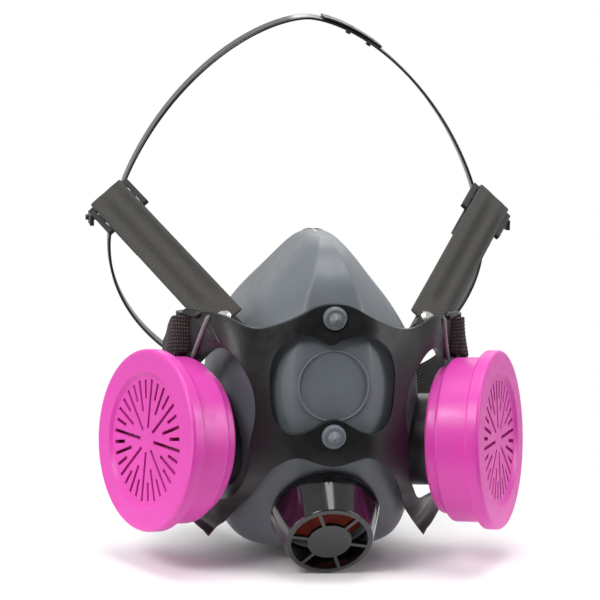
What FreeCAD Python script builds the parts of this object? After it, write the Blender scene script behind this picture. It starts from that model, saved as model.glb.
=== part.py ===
"""Half-mask respirator with two screw-on filter cartridges and a cradle head harness.

Frame: +Z up, -Y is the front of the mask, +X is to the right of someone facing it.
The origin lies on the resting surface, under the middle of the whole object.
"left" and "right" name the sides as that person sees them.
"""
import FreeCAD, Part
import Sketcher
import os
import re
from math import sin, cos, radians, pi
from FreeCAD import Vector, Placement, Rotation

SIDES = (("left", -1), ("right", 1))

# Driving dimensions: name, value (mm or degrees), meaning.
SIZES = (
    ("front_reach", 51.3, "origin to the plane through the filter rims, towards the front"),
    ("filter_height", 60.87, "resting surface to the filter axes at the rim"),
    ("seat_spread", 61.4, "mid-plane to the centre of an inlet seat"),
    ("seat_setback", 12.7, "inlet seat behind the rim plane"),
    ("filter_azimuth", 63.0, "filter axis turned sideways from straight ahead"),
    ("filter_rise", 4.5, "filter axis tilted upwards"),
    ("flange_radius", 44.5, "filter cover flange"),
    ("rim_height", 31.0, "top of the filter cover above the inlet seat"),
    ("flange_height", 24.05, "underside of the cover flange above the seat"),
    ("grille_radius", 31.5, "open face of the filter cover"),
    ("grille_height", 29.4, "front of the grille above the seat"),
    ("grille_thick", 2.2, "grille plate"),
    ("slot_width", 1.7, "grille slot"),
    ("drum_radius", 41.0, "filter body"),
    ("drum_wall", 2.0, "filter body wall"),
    ("drum_height", 7.5, "rear shoulder of the filter body above the seat"),
    ("step_radius", 37.0, "rear step of the filter body"),
    ("step_height", 1.5, "rear face of the filter body above the seat"),
    ("neck_radius", 17.5, "screw neck of the filter"),
    ("neck_bore", 14.0, "air way through the neck"),
    ("neck_length", 7.0, "screw neck below the seat"),
    ("port_radius", 23.0, "inlet port outside"),
    ("port_bore", 18.2, "inlet port inside"),
    ("port_length", 24.0, "inlet port along its axis"),
    ("port_lip", 15.0, "valve seat opening at the inner end of the port"),
    ("port_web", 2.5, "thickness of the valve seat and its cross"),
    ("peg_radius", 1.95, "peg that holds the inhalation valve"),
    ("flap_radius", 16.5, "inhalation valve"),
    ("flap_thick", 0.8, "inhalation valve"),
    ("outlet_drop", 32.0, "exhalation seat below the filter axes"),
    ("outlet_setback", -8.0, "exhalation seat behind the rim plane"),
    ("outlet_tilt", 31.0, "exhalation axis below straight ahead"),
    ("outlet_radius", 21.9, "exhalation seat outside"),
    ("outlet_bore", 17.0, "exhalation seat opening"),
    ("cone_base", 26.8, "exhalation cover at its base"),
    ("cone_front", 21.2, "exhalation cover at its front"),
    ("cone_length", 21.0, "exhalation cover along its axis"),
    ("cone_wall", 1.8, "exhalation cover wall"),
    ("disc_radius", 10.8, "closed disc at the front of the exhalation cover"),
    ("mask_wall", 2.4, "facepiece wall"),
    ("yoke_thick", 2.6, "yoke plate"),
    ("stud_radius", 6.0, "head of a facepiece stud"),
    ("strap_width", 20.0, "head strap"),
    ("strap_thick", 1.5, "head strap"),
    ("strap_root", 22.0, "head strap from its end to where it leaves the yoke"),
    ("strap_length", 126.0, "head strap from its end to its fold"),
    ("pin_radius", 1.5, "pin that the cradle turns on"),
    ("pivot_height", 99.0, "cradle pins over the filter axes"),
    ("buckle_thick", 2.4, "strap buckle"),
    ("cradle_width", 12.0, "band of the head cradle, front to back"),
    ("cradle_thick", 1.5, "band of the head cradle"),
    ("cradle_half", 101.0, "half width of the head cradle"),
    ("neck_width", 19.0, "neck strap"),
    ("neck_thick", 1.8, "neck strap"),
    ("neck_slope", 25.0, "neck strap falls from the yoke to the nape"),
    ("neck_reach", 129.0, "neck strap from the yoke bar to the nape, along its slope"),
)

# Facepiece stations from chin to nose: height over the filter axes, front, half width, rim.
FACE_STATIONS = (
    (-59.5, 34.0, 22.0, 50.0),
    (-55.5, 15.0, 33.0, 53.0),
    (-49.0, 2.5, 42.0, 58.0),
    (-38.0, -4.5, 47.5, 65.0),
    (-20.0, -15.0, 50.0, 76.0),
    (0.0, -24.0, 50.5, 83.0),
    (25.0, -25.5, 51.0, 84.0),
    (48.0, -23.5, 46.5, 80.0),
    (66.0, -19.5, 36.0, 74.0),
    (82.0, -13.0, 22.5, 65.0),
    (93.0, -2.0, 13.0, 57.0),
    (99.5, 16.0, 6.5, 52.0),
)

# Yoke stations: height, then the plate's outer face as (x, y) from the middle to the side.
YOKE_STATIONS = (
    (-50.0, ((0, -8), (17, -7.5), (32, 0), (45, 8), (53, 15), (60, 24), (65, 32), (71, 43))),
    (-22.0, ((0, -23), (17, -22.5), (33, -14), (45, -8), (53, 1), (61, 16), (68.5, 31), (76, 45.6))),
    (-5.0, ((0, -29.5), (17, -29), (34, -20), (45, -12.5), (52.8, 0.3), (61, 16), (68.5, 31), (76, 45.6))),
    (12.0, ((0, -30), (17, -29.5), (34, -20.5), (45, -13), (52.8, 0.3), (61, 16), (68.5, 31), (76, 45.6))),
    (30.0, ((0, -29), (17, -28.5), (34, -19.5), (45, -12.5), (53, -1), (61, 16), (67.5, 27.5), (73, 37))),
    (46.0, ((0, -27.5), (17, -27), (34, -18.5), (45, -12), (53.5, -2), (60.5, 12), (66.5, 22), (73, 33))),
    (66.0, ((0, -24), (17, -23.5), (34, -16), (45, -11), (54, -4), (60.5, 8.5), (66.5, 19), (73, 30))),
    (80.0, ((0, -21), (17, -20.5), (34, -13), (45, -8), (54, -1), (60.5, 9), (66.5, 19.5), (73, 31))),
)

# Outlines seen from the front, right half: (x, height over the filter axes).
YOKE_TOP = ((0, 73), (8, 71.8), (16, 67.8), (24, 63.8), (31, 61), (38, 60), (45, 62), (51, 64.5), (57, 64.5),
            (64, 62.3), (72.5, 61.8))
YOKE_SIDE = ((66, 34), (66, 0), (65, -30), (60.5, -43), (50, -53))
YOKE_NOTCH = ((0, -5), (9, -3), (17, -1), (25, -4.5), (31.5, -11.5), (36, -20), (41, -31), (47.5, -41), (57, -53))
YOKE_WINDOW = ((0, 54), (11, 57.5), (19.5, 56.5), (26.5, 51), (30, 41), (29.8, 26), (27.5, 16.5),
               (22.5, 11.5), (15, 11.5), (8, 15), (0, 18))
# Side window in the plane across the filter axis: (towards the back, up).
SIDE_WINDOW = ((-38, 10), (-37, 31), (-31, 42), (-23, 48), (-13, 47.5), (-2, 42), (10, 33), (20, 21),
               (27.5, 4), (26, -13), (16, -24), (-2, -28), (-16, -27), (-27, -21), (-35, -9))

# Neck strap's inner face from the yoke's bar to the nape: (from the middle, along the slope).
NECK_PATH = ((71.8, 0.0), (71.9, 7.0), (72.4, 15.0), (73.2, 26.0), (73.5, 40.0), (72.0, 60.0),
             (67.5, 82.0), (56.5, 103.0), (40.0, 120.0), (23.0, 128.0))

LUG_REACH = 109.3
LUG_THICK = 2.0
PIN_START = 97.5
CRADLE_WIDEST = 86.5
CRADLE_TOP = 121.0
CRADLE_BOTTOM = 80.0
CRADLE_STEPS = 40
CRADLE_LEAN = 8.0
BAR_LOOP = 2.9

doc = FreeCAD.newDocument("respirator")
nodes = []


def make_sheet():
    """Every driving dimension gets a row: name, value, meaning."""
    table = doc.addObject("Spreadsheet::Sheet", "Sizes")
    for row, (name, value, meaning) in enumerate(SIZES, 1):
        table.set(f"A{row}", name)
        table.set(f"B{row}", str(value))
        table.set(f"C{row}", meaning)
        table.setAlias(f"B{row}", name)
    doc.recompute()
    return table


sheet = make_sheet()


def size(name):
    return float(getattr(sheet, name))


def number(expression):
    """The value of an expression written with the sheet's names."""
    return float(sheet.evalExpression(expression))


def bound(text):
    """The same expression with each name pointing at the sheet."""
    return re.sub(r"[a-z][a-z_]+", lambda name: "Sizes." + name.group(), text)


def at(x, y, z):
    """A point given from the rim plane and the filter axes' height."""
    return Vector(x, y - size("front_reach"), z + size("filter_height"))


def keep(item, label, placement=None):
    """Registers a finished sub-part under its own name."""
    item.Label = label
    if placement is not None:
        item.Placement = placement
    nodes.append(item)
    return item


def feature(label, shape, placement=None):
    """A free-form sub-part whose shape is worked out here."""
    item = doc.addObject("Part::Feature", label)
    item.Shape = shape
    return keep(item, label, placement)


# ---------------------------------------------------------------- sketches and bodies

def plane_of(body, role):
    return next(item for item in body.Origin.OriginFeatures if item.Role == role)


def sketch_on(body, name, role, lift=0.0):
    """A sketch on one of the body's own planes, moved along the plane's normal."""
    sketch = body.newObject("Sketcher::SketchObject", name)
    sketch.AttachmentSupport = [(plane_of(body, role), "")]
    sketch.MapMode = "FlatFace"
    sketch.AttachmentOffset = Placement(Vector(0, 0, lift), Rotation())
    return sketch


def draw_outline(sketch, points):
    """A closed outline whose corners are bound to expressions for x and y."""
    spots = [Vector(number(bound(x)), number(bound(y)), 0) for x, y in points]
    first = sketch.GeometryCount
    for index, spot in enumerate(spots):
        sketch.addGeometry(Part.LineSegment(spot, spots[(index + 1) % len(spots)]))
    for index in range(len(spots)):
        follower = first + (index + 1) % len(spots)
        sketch.addConstraint(Sketcher.Constraint("Coincident", first + index, 2, follower, 1))
    for index, (x, y) in enumerate(points):
        for kind, text, value in (("DistanceX", x, spots[index].x), ("DistanceY", y, spots[index].y)):
            place = sketch.addConstraint(Sketcher.Constraint(kind, -1, 1, first + index, 1, value))
            sketch.setExpression(f"Constraints[{place}]", bound(text))


def draw_circle(sketch, radius, x="0", y="0"):
    centre = Vector(number(bound(x)), number(bound(y)), 0)
    index = sketch.addGeometry(Part.Circle(centre, Vector(0, 0, 1), number(bound(radius))))
    for kind, text, value in (("DistanceX", x, centre.x), ("DistanceY", y, centre.y)):
        place = sketch.addConstraint(Sketcher.Constraint(kind, -1, 1, index, 3, value))
        sketch.setExpression(f"Constraints[{place}]", bound(text))
    place = sketch.addConstraint(Sketcher.Constraint("Radius", index, number(bound(radius))))
    sketch.setExpression(f"Constraints[{place}]", bound(radius))


def new_body(label, placement):
    body = doc.addObject("PartDesign::Body", label)
    body.Placement = placement
    return body


def turned(body, name, points):
    """Adds a solid of revolution about the body's Z axis; points are (radius, height)."""
    sketch = sketch_on(body, name + "_outline", "XZ_Plane")
    draw_outline(sketch, points)
    turn = body.newObject("PartDesign::Revolution", name)
    turn.Profile = sketch
    turn.ReferenceAxis = (sketch, ["V_Axis"])
    turn.Angle = 360
    doc.recompute()
    return turn


def padded(body, name, draw, depth, lift):
    """Adds a pad that rises from a height above the body's XY plane."""
    sketch = sketch_on(body, name + "_outline", "XY_Plane", number(bound(lift)))
    sketch.setExpression("AttachmentOffset.Base.z", bound(lift))
    draw(sketch)
    pad = body.newObject("PartDesign::Pad", name)
    pad.Profile = sketch
    pad.Length = number(bound(depth))
    pad.setExpression("Length", bound(depth))
    doc.recompute()
    return pad


def pocketed(body, name, draw, depth, lift):
    """Cuts a pocket downwards from a height above the body's XY plane."""
    before = body.Shape.Volume
    sketch = sketch_on(body, name + "_outline", "XY_Plane", number(bound(lift)))
    sketch.setExpression("AttachmentOffset.Base.z", bound(lift))
    draw(sketch)
    pocket = body.newObject("PartDesign::Pocket", name)
    pocket.Profile = sketch
    pocket.Length = number(bound(depth))
    pocket.setExpression("Length", bound(depth))
    doc.recompute()
    if body.Shape.Volume > before - 0.01:
        raise RuntimeError(name + " cuts nothing")
    return pocket


def repeated(body, name, original, count):
    """Repeats a feature around the body's Z axis."""
    pattern = body.newObject("PartDesign::PolarPattern", name)
    pattern.Originals = [original]
    pattern.Axis = (original.Profile[0], ["N_Axis"])
    pattern.Angle = 360
    pattern.Occurrences = count
    body.Tip = pattern
    doc.recompute()
    return pattern


def rounded(body, name, radius, circles):
    """Rounds the circular edges given by (radius, height)."""
    base = body.Tip
    edges = []
    for index, edge in enumerate(base.Shape.Edges, 1):
        if not isinstance(edge.Curve, Part.Circle):
            continue
        for ring, height in circles:
            same_ring = abs(edge.Curve.Radius - ring) < 0.01
            if same_ring and abs(edge.Curve.Center.z - height) < 0.01:
                edges.append(f"Edge{index}")
    fillet = body.newObject("PartDesign::Fillet", name)
    fillet.Base = (base, edges)
    fillet.Radius = radius
    doc.recompute()
    return fillet


# ---------------------------------------------------------------- directions and places

def filter_axis(side):
    """Unit vector out of the inlet seat along the filter's screw axis."""
    azimuth = radians(size("filter_azimuth"))
    rise = radians(size("filter_rise"))
    return Vector(side * sin(azimuth) * cos(rise), -cos(azimuth) * cos(rise), sin(rise))


def filter_place(side):
    """Seat frame: Z out along the screw axis, Y as close to straight up as it can be."""
    outward = filter_axis(side)
    upward = (Vector(0, 0, 1) - outward * outward.z).normalize()
    centre = at(side * size("seat_spread"), size("seat_setback"), 0)
    return Placement(centre, Rotation(upward.cross(outward), upward, outward, "ZYX"))


def outlet_place():
    """Exhalation seat frame: Z forwards and down, out of the mask."""
    tilt = radians(size("outlet_tilt"))
    outward = Vector(0, -cos(tilt), -sin(tilt))
    upward = Vector(0, -sin(tilt), cos(tilt))
    centre = at(0, size("outlet_setback"), -size("outlet_drop"))
    return Placement(centre, Rotation(upward.cross(outward), upward, outward, "ZYX"))


def strap_place(side):
    """Head strap frame: X along the strap from its end, Y across it, Z out of its face."""
    along = Vector(side * 0.437, 0.790, 0.431).normalize()
    across = Vector(side * 0.77, 0.0, -0.63)
    across = (across - along * along.dot(across)).normalize() * -side
    return Placement(at(side * 48.8, 1.0, 59.6), Rotation(along, across, along.cross(across), "ZXY"))


def placed(shape, placement):
    """The shape moved rigidly into a frame."""
    shape.Placement = placement.multiply(shape.Placement)
    return shape


# ---------------------------------------------------------------- facepiece

def mirrored(points):
    """Right-half points, middle first, to a full left-to-right run."""
    left = [(-x, y) for x, y in reversed(points) if x > 0]
    return left + list(points)


def curve_through(points):
    curve = Part.BSplineCurve()
    curve.interpolate(points)
    return curve.toShape()


def face_section(height, front, half, rim):
    """One level cut of the facepiece: flat front panel, rounded cheeks, straight back edge."""
    depth = rim - front
    run = mirrored([(0, front), (0.34 * half, front + 0.012 * depth), (0.68 * half, front + 0.13 * depth),
                    (0.93 * half, front + 0.34 * depth), (half, front + 0.62 * depth), (half, rim)])
    spots = [at(x, y, height) for x, y in run]
    return Part.Wire([curve_through(spots), Part.makeLine(spots[-1], spots[0])])


def face_loft(wall, reach):
    """The facepiece's outer form drawn in by a wall, running back past the rim."""
    middle = 20.0
    shrink = 1 - wall / 80.0
    sections = []
    for height, front, half, rim in FACE_STATIONS:
        level = middle + (height - middle) * shrink
        sections.append(face_section(level, front + wall, half - wall, rim + reach))
    return Part.makeLoft(sections, True, False)


def behind_rim(shift):
    """Everything behind the rim, which bows back between nose and chin."""
    spots = [at(-90, rim + shift, height) for height, front, half, rim in FACE_STATIONS]
    low = spots[0] + Vector(0, 0, -30)
    high = spots[-1] + Vector(0, 0, 30)
    far = Vector(0, 120, 0)
    edges = [Part.makeLine(low, spots[0]), curve_through(spots), Part.makeLine(spots[-1], high),
             Part.makeLine(high, high + far), Part.makeLine(high + far, low + far),
             Part.makeLine(low + far, low)]
    return Part.Face(Part.Wire(edges)).extrude(Vector(180, 0, 0))


def bosses(grow, depth, top):
    """Round collars of the facepiece around its three openings."""
    solids = []
    for _, side in SIDES:
        collar = Part.makeCylinder(size("port_radius") + grow, depth, Vector(0, 0, top - depth))
        solids.append(placed(collar, filter_place(side)))
    collar = Part.makeCylinder(size("outlet_radius") + grow, depth - 10, Vector(0, 0, top - depth + 10))
    solids.append(placed(collar, outlet_place()))
    return solids


def facepiece():
    outer = face_loft(0.0, 9.0)
    collars = bosses(3.0, 28.0, -0.3)
    holes = bosses(0.05, 60.0, 12.0)
    shell = outer.fuse(collars).cut(face_loft(size("mask_wall"), 20.0))
    shell = shell.cut(holes + stud_rods(2.93, 0.0, 0.02)).cut(behind_rim(0.0))
    solid = max(shell.Solids, key=lambda item: item.Volume)
    feature("facepiece", solid)


def face_seal():
    """The thin flap that carries on behind the rim and lies against the face."""
    lip = face_loft(0.0, 9.0).cut(face_loft(1.8, 20.0))
    lip = lip.common(behind_rim(0.02)).cut(behind_rim(7.0))
    feature("face_seal", max(lip.Solids, key=lambda item: item.Volume))


def stud_places():
    """Where the studs come through the yoke's outer face, and how far back they are rooted."""
    return (at(0, -23.5, 66.0), 5.3), (at(0, -30.0, 9.7), 6.6)


def stud_rods(radius, front, extra):
    """Round rods along the studs, from a distance before the outer face to their roots."""
    forward = Vector(0, -1, 0)
    return [Part.makeCylinder(radius, front + depth + extra, place - forward * (depth + extra), forward)
            for place, depth in stud_places()]


def facepiece_studs():
    """Two mushroom studs that hold the yoke on the facepiece."""
    studs = []
    for index, (place, depth) in enumerate(stud_places(), 1):
        shank = doc.addObject("Part::Cylinder", f"stud_shank_{index}")
        shank.Radius = 2.9
        shank.Height = depth
        head = doc.addObject("Part::Cone", f"stud_head_{index}")
        head.setExpression("Radius1", "Sizes.stud_radius")
        head.setExpression("Radius2", "Sizes.stud_radius * 0.8")
        head.Height = 2.6
        head.Placement = Placement(Vector(0, 0, depth), Rotation())
        nib = doc.addObject("Part::Cone", f"stud_nib_{index}")
        nib.Radius1 = 3.2
        nib.Radius2 = 0.5
        nib.Height = 3.0
        nib.Placement = Placement(Vector(0, 0, depth + 2.6), Rotation())
        stud = doc.addObject("Part::MultiFuse", f"stud_{index}")
        stud.Shapes = [shank, head, nib]
        root = place + Vector(0, depth, 0)
        stud.Placement = Placement(root, Rotation(Vector(0, 0, 1), Vector(0, -1, 0)))
        studs.append(stud)
    group = doc.addObject("Part::Compound", "facepiece_studs")
    group.Links = studs
    keep(group, "facepiece_studs")


# ---------------------------------------------------------------- yoke

def yoke_section(height, points):
    """One level cut of the yoke plate, its inner face offset along the local normal."""
    thick = size("yoke_thick")
    outer = mirrored(points)
    inner = []
    for index, (x, y) in enumerate(outer):
        before = outer[max(index - 1, 0)]
        after = outer[min(index + 1, len(outer) - 1)]
        run = Vector(after[0] - before[0], after[1] - before[1], 0).normalize()
        inner.append((x - run.y * thick, y + run.x * thick))
    front = [at(x, y, height) for x, y in outer]
    back = [at(x, y, height) for x, y in inner]
    edges = [curve_through(front), Part.makeLine(front[-1], back[-1]),
             curve_through(list(reversed(back))), Part.makeLine(back[0], front[0])]
    return Part.Wire(edges)


def closed_curve(spots):
    curve = Part.BSplineCurve()
    curve.interpolate(spots, PeriodicFlag=True)
    return Part.Face(Part.Wire([curve.toShape()]))


def front_prism(edges):
    """A front-view outline carried through the whole depth."""
    return Part.Face(Part.Wire(edges)).extrude(Vector(0, 140, 0))


def yoke_notch():
    """Room between the two lower arms, for the exhalation seat."""
    run = [at(x, -60, z) for x, z in mirrored(YOKE_NOTCH)]
    low_right = at(57, -60, -90)
    low_left = at(-57, -60, -90)
    edges = [curve_through(run), Part.makeLine(run[-1], low_right), Part.makeLine(low_right, low_left),
             Part.makeLine(low_left, run[0])]
    return front_prism(edges)


def yoke_outline():
    """Front-view outline of the arms: a curve along the top and one down each side."""
    top = [at(x, -60, z) for x, z in mirrored(YOKE_TOP)]
    sides = [at(x, -60, z) for x, z in YOKE_SIDE]
    sides_left = [at(-x, -60, z) for x, z in reversed(YOKE_SIDE)]
    ear_right = at(72.5, -60, 37)
    ear_left = at(-72.5, -60, 37)
    edges = [curve_through(top), Part.makeLine(top[-1], ear_right), Part.makeLine(ear_right, sides[0]),
             curve_through(sides), Part.makeLine(sides[-1], sides_left[0]), curve_through(sides_left),
             Part.makeLine(sides_left[-1], ear_left), Part.makeLine(ear_left, top[0])]
    return front_prism(edges)


def across_filter(face_points, side):
    """A closed curve in the plane across the filter axis, carried along that axis."""
    spots = [Vector(side * back, up, -45) for back, up in face_points]
    solid = closed_curve(spots).extrude(Vector(0, 0, 70))
    return placed(solid, filter_place(side))


def ring_outline():
    """Outer edge of the ring that goes round an inlet port."""
    steps = 16
    return [(-3 + 39 * cos(2 * pi * step / steps), 1 + 49 * sin(2 * pi * step / steps))
            for step in range(steps)]


def yoke():
    plate = Part.makeLoft([yoke_section(*station) for station in YOKE_STATIONS], True, False)
    rings = [across_filter(ring_outline(), side) for _, side in SIDES]
    body = plate.common(yoke_outline().fuse(rings))
    cut = [closed_curve(window_loop()).extrude(Vector(0, 140, 0)), yoke_notch()]
    cut += [across_filter(SIDE_WINDOW, side) for _, side in SIDES]
    cut += stud_rods(3.0, 10.0, 10.0)
    for place, _ in stud_places():
        cut.append(Part.makeCylinder(size("stud_radius") + 0.3, 10, place + Vector(0, 0.1, 0), Vector(0, -1, 0)))
    for _, side in SIDES:
        cut += strap_recess(side) + [bar_tube(side, 2.6, 5.0, 0.3)]
        cut.append(Part.makeBox(12, 140, 50, at(71.5 if side > 0 else -83.5, -60, 26)))
    body = body.cut(cut).fuse([anchor_tab(side) for _, side in SIDES])
    body = body.fuse([bar_rod(side, 2.6, 3.0) for _, side in SIDES])
    body = body.cut([rivet_hole(side) for _, side in SIDES])
    feature("yoke", max(body.Solids, key=lambda item: item.Volume))


def anchor_tab(side):
    """Tab behind the yoke's ear, under the end of the head strap, and the step that carries it."""
    tab = Part.makeBox(17, 11, 2.2, Vector(-8, -5.5, -3.2))
    step = Part.makeBox(7.4, 11, 5.4, Vector(-8, -5.5, -3.2))
    return placed(tab.fuse(step), strap_place(side))


def strap_recess(side):
    """Room behind the ear for the head strap and its rivet."""
    strap = Part.makeBox(36, size("strap_width") + 0.8, 4.4, Vector(-0.4, -size("strap_width") / 2 - 0.4, -3.3))
    head = Part.makeCylinder(5.1, 5.6, Vector(4.5, 0, -3.0))
    return [placed(strap, strap_place(side)), placed(head, strap_place(side))]


def rivet_hole(side):
    return placed(Part.makeCylinder(2.0, 10, Vector(4.5, 0, -8)), strap_place(side))


def bar_rod(side, radius, extra):
    """Round rod along the line of the end bar, longer than the strap's loop at both ends."""
    low, high = bar_ends(side)
    way = (high - low).normalize()
    return Part.makeCylinder(radius, (high - low).Length + 2 * extra, low - way * extra, way)


def bar_tube(side, inner, outer, extra):
    """Tube round the end bar."""
    return bar_rod(side, outer, extra).cut(bar_rod(side, inner, extra))


def window_loop():
    """The middle window as one closed run of points."""
    right = list(YOKE_WINDOW)
    left = [(-x, z) for x, z in reversed(YOKE_WINDOW) if x > 0]
    return [at(x, -60, z) for x, z in right + left]


# ---------------------------------------------------------------- filters and valves

def filter_cover(label, place):
    body = new_body(label, place)
    inner = "drum_radius - drum_wall - 0.1"
    turned(body, "cover", (
        ("0", "grille_height - grille_thick"), (inner, "grille_height - grille_thick"),
        (inner, "flange_height"), ("flange_radius", "flange_height"), ("flange_radius", "rim_height"),
        ("grille_radius + 1.8", "rim_height"), ("grille_radius", "grille_height"), ("0", "grille_height")))
    flange = size("flange_radius")
    rounded(body, "rim_round", 1.8, ((flange, size("rim_height")),))
    rounded(body, "flange_round", 0.8, ((flange, size("flange_height")),))
    rows = (("long", 6, 30, 8, 0.0), ("medium", 14.5, 30, 8, 22.5), ("short", 20.5, 29.5, 16, 11.25))
    for name, start, end, count, turn in rows:
        cut_slots(body, name, start, end, count, turn)
    keep(body, label)


def cut_slots(body, name, start, end, count, turn):
    """A row of radial slots through the grille, the first one turned from the X axis."""
    angle = radians(turn)
    half = "slot_width * 0.5"

    def corner(radius, sign):
        x = f"{radius * cos(angle):.4f} - {sign * sin(angle):.5f} * {half}"
        y = f"{radius * sin(angle):.4f} + {sign * cos(angle):.5f} * {half}"
        return x, y

    corners = (corner(start, -1), corner(end, -1), corner(end, 1), corner(start, 1))
    pocket = pocketed(body, name + "_slot", lambda sketch: draw_outline(sketch, corners),
                      "grille_thick + 2", "grille_height + 1")
    repeated(body, name + "_slots", pocket, count)


def filter_body(label, place):
    body = new_body(label, place)
    turned(body, "drum", (
        ("neck_bore", "-neck_length"), ("neck_radius", "-neck_length"), ("neck_radius", "step_height"),
        ("step_radius", "step_height"), ("step_radius", "drum_height"), ("drum_radius", "drum_height"),
        ("drum_radius", "flange_height - 0.05"), ("drum_radius - drum_wall", "flange_height - 0.05"),
        ("drum_radius - drum_wall", "drum_height + drum_wall"),
        ("step_radius - drum_wall", "drum_height + drum_wall"),
        ("step_radius - drum_wall", "step_height + drum_wall"), ("neck_bore", "step_height + drum_wall")))
    rounded(body, "shoulder_round", 1.6, ((size("drum_radius"), size("drum_height")),
                                          (size("step_radius"), size("step_height"))))
    keep(body, label)


def filter_media(label, place):
    """Folded filter paper, as the disc that it fills."""
    body = new_body(label, place)
    edge = "drum_radius - drum_wall - 0.3"
    floor = "drum_height + drum_wall + 0.3"
    roof = "flange_height - 0.4"
    turned(body, "pack", (("0", floor), (edge, floor), (edge, roof), ("0", roof)))
    keep(body, label)


def filter_gasket(label, place):
    body = new_body(label, place)
    turned(body, "washer", (
        ("neck_radius + 0.5", "0.1"), ("port_radius - 0.4", "0.1"),
        ("port_radius - 0.4", "step_height - 0.1"), ("neck_radius + 0.5", "step_height - 0.1")))
    keep(body, label)


def inlet_port(label, place):
    """Moulded port: threaded socket for the filter, and a cross with a peg for the valve."""
    body = new_body(label, place)
    web = "port_web - port_length"
    turned(body, "socket", (
        ("port_bore", "0"), ("port_radius", "0"), ("port_radius", "-port_length"),
        ("port_lip", "-port_length"), ("port_lip", web), ("port_bore", web)))
    bar = (("0", "-1.1"), ("port_lip + 1", "-1.1"), ("port_lip + 1", "1.1"), ("0", "1.1"))
    spoke = padded(body, "spoke", lambda sketch: draw_outline(sketch, bar), "port_web", "-port_length")
    repeated(body, "cross", spoke, 4)
    end = "-port_length - 3"
    turned(body, "peg", (
        ("0", "-port_length + 1"), ("peg_radius", "-port_length + 1"), ("peg_radius", end),
        ("peg_radius + 1", end), ("peg_radius + 1", "-port_length - 4"), ("0", "-port_length - 4")))
    keep(body, label)


def inhalation_valve(label, place):
    body = new_body(label, place)
    top = "-port_length - 0.1"
    low = "-port_length - 0.1 - flap_thick"
    turned(body, "flap", (("peg_radius + 0.06", low), ("flap_radius", low), ("flap_radius", top),
                          ("peg_radius + 0.06", top)))
    keep(body, label)


def exhalation_seat():
    body = new_body("exhalation_seat", outlet_place())
    turned(body, "ring", (
        ("outlet_bore", "-8"), ("outlet_radius", "-8"), ("outlet_radius", "0"),
        ("outlet_radius - 1.5", "1"), ("outlet_bore", "1")))
    bar = (("3", "-1.1"), ("outlet_bore + 1", "-1.1"), ("outlet_bore + 1", "1.1"), ("3", "1.1"))
    spoke = padded(body, "seat_spoke", lambda sketch: draw_outline(sketch, bar), "2", "-3")
    repeated(body, "seat_cross", spoke, 6)
    turned(body, "hub", (("2.06", "-3.5"), ("4", "-3.5"), ("4", "-0.5"), ("2.06", "-0.5")))
    keep(body, "exhalation_seat")


def exhalation_valve():
    """Rubber flap with a stem through the seat's hub."""
    body = new_body("exhalation_valve", outlet_place())
    turned(body, "disc", (
        ("0", "-8"), ("2.8", "-7.6"), ("2", "-6.8"), ("2", "1.1"), ("outlet_bore + 2.2", "1.1"),
        ("outlet_bore + 2.2", "2.0"), ("0", "2.4")))
    keep(body, "exhalation_valve")


def gap_corners(inner, outer):
    """One gap of the cover's front between two spokes of even width, turned a little clockwise."""
    corners = []
    for ring, order in ((inner, (-1, -0.5, 0, 0.5, 1)), (outer, (1, 0.5, 0, -0.5, -1))):
        half = radians(30) - 0.85 / ring
        for share in order:
            turn = radians(10) + half * share
            corners.append((f"{ring * sin(turn):.4f}", f"{ring * cos(turn):.4f}"))
    return corners


def exhalation_cover():
    body = new_body("exhalation_cover", outlet_place())
    turned(body, "cone", (
        ("cone_base - cone_wall", "0.3"), ("cone_base", "0.3"), ("cone_base", "3"),
        ("cone_front", "cone_length"), ("0", "cone_length"), ("0", "cone_length - 2"),
        ("cone_front - cone_wall", "cone_length - 2"), ("cone_base - cone_wall", "3")))
    rounded(body, "front_round", 0.8, ((size("cone_front"), size("cone_length")),))
    corners = gap_corners(size("disc_radius"), size("cone_front") - 2.4)
    pocket = pocketed(body, "gap", lambda sketch: draw_outline(sketch, corners), "4", "cone_length + 1")
    repeated(body, "gaps", pocket, 6)
    keep(body, "exhalation_cover")


# ---------------------------------------------------------------- harness

def strap_rivets():
    """Two dome rivets that fasten the head straps to the yoke's ears."""
    rivets = []
    for name, side in SIDES:
        place = strap_place(side)
        shank = Part.makeCylinder(1.9, 6.0, Vector(4.5, 0, -4.4))
        head = Part.makeCone(4.6, 3.2, 1.3, Vector(4.5, 0, 0.9))
        tail = Part.makeCylinder(3.6, 1.0, Vector(4.5, 0, -4.3))
        rivets.append(placed(shank.fuse([head, tail]), place))
    feature("strap_rivets", Part.makeCompound([solid for item in rivets for solid in item.Solids]))


def strap_end(label, side):
    """The strap's own end, held on the yoke's tab by the rivet."""
    body = new_body(label, strap_place(side))
    half = "strap_width * 0.5"
    edge = (("0", "-" + half), ("strap_root - 1.5", "-" + half), ("strap_root - 1.5", half), ("0", half))
    padded(body, label + "_ply", lambda sketch: draw_outline(sketch, edge), "strap_thick",
           "0.8 - strap_thick")
    pocketed(body, label + "_hole", lambda sketch: draw_circle(sketch, "2", "4.5"), "6", "3")
    keep(body, label)


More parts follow.
